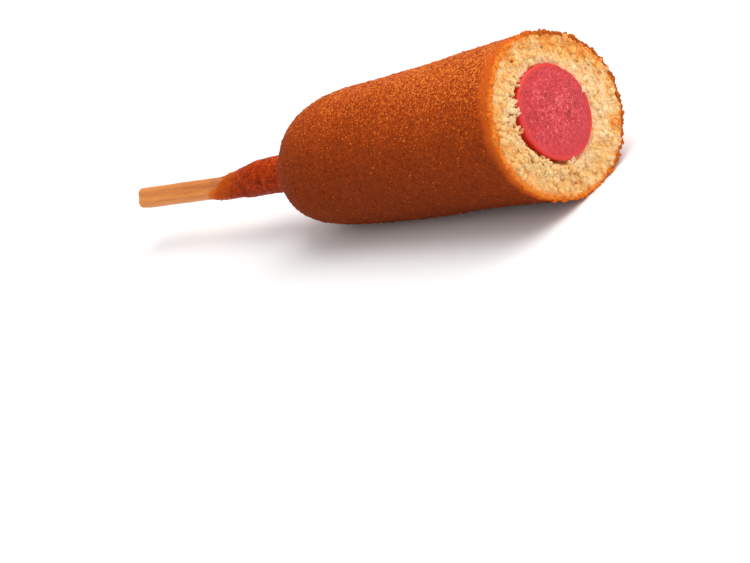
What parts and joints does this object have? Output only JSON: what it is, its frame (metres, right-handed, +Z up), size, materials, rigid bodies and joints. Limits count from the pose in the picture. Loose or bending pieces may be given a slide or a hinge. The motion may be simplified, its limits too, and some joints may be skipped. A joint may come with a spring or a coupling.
{
  "type": "corn dog",
  "caption": "Corn dog with its tip cut off, lying on its side: a sausage on a square wooden stick in a fried cornmeal batter coat that closes round the stick in a neck.",
  "frame": {"origin": "centre of the bounding box's base, on the surface that it lies on", "axes": "+X along the corn dog from the stick towards the cut, +Z up, as it lies"},
  "size_m": [0.155, 0.0416, 0.0377],
  "materials": {
    "fried_batter": "orange-brown fried cornmeal crust, fine-grained, over a pale yellow porous crumb",
    "sausage_meat": "moist pink-red fine sausage meat with a redder skin",
    "stick_wood": "plain birch, warmed to tan by the fryer, with fine grain along it"
  },
  "bodies": {
    "root": {"batter": "fried_batter", "sausage": "sausage_meat", "stick": "stick_wood"}
  },
  "joints": []
}
